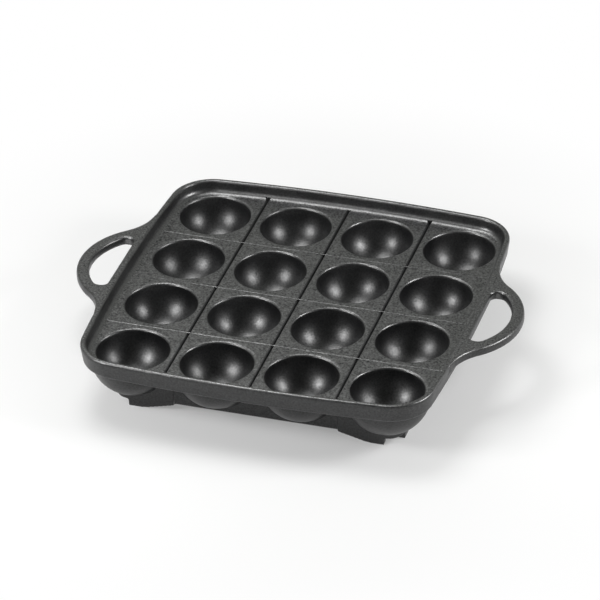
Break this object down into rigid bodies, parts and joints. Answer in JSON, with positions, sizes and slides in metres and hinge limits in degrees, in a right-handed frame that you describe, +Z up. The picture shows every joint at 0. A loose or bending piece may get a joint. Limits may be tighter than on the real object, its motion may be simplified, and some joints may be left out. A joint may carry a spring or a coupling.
{
  "type": "takoyaki pan",
  "caption": "Square cast-iron takoyaki pan: round cups set in a flat deck with a raised rim, a skirt with short feet below, and a loop handle at each end.",
  "frame": {"origin": "middle of the footprint, on the surface that the feet stand on", "axes": "+X from one handle to the other, +Y along the other side of the square, +Z up"},
  "size_m": [0.2494, 0.201, 0.037],
  "materials": {
    "seasoned_cast_iron": "fine cast grain, black, seasoned, satin"
  },
  "bodies": {
    "root": {"cup_1_1": "seasoned_cast_iron", "cup_1_2": "seasoned_cast_iron", "cup_1_3": "seasoned_cast_iron", "cup_1_4": "seasoned_cast_iron", "cup_2_1": "seasoned_cast_iron", "cup_2_2": "seasoned_cast_iron", "cup_2_3": "seasoned_cast_iron", "cup_2_4": "seasoned_cast_iron", "cup_3_1": "seasoned_cast_iron", "cup_3_2": "seasoned_cast_iron", "cup_3_3": "seasoned_cast_iron", "cup_3_4": "seasoned_cast_iron", "cup_4_1": "seasoned_cast_iron", "cup_4_2": "seasoned_cast_iron", "cup_4_3": "seasoned_cast_iron", "cup_4_4": "seasoned_cast_iron", "rim_right": "seasoned_cast_iron", "rim_back": "seasoned_cast_iron", "rim_left": "seasoned_cast_iron", "rim_front": "seasoned_cast_iron", "handle_right": "seasoned_cast_iron", "handle_left": "seasoned_cast_iron", "skirt_right": "seasoned_cast_iron", "skirt_back": "seasoned_cast_iron", "skirt_left": "seasoned_cast_iron", "skirt_front": "seasoned_cast_iron", "feet_back_right": "seasoned_cast_iron", "feet_back_left": "seasoned_cast_iron", "feet_front_left": "seasoned_cast_iron", "feet_front_right": "seasoned_cast_iron"}
  },
  "joints": []
}
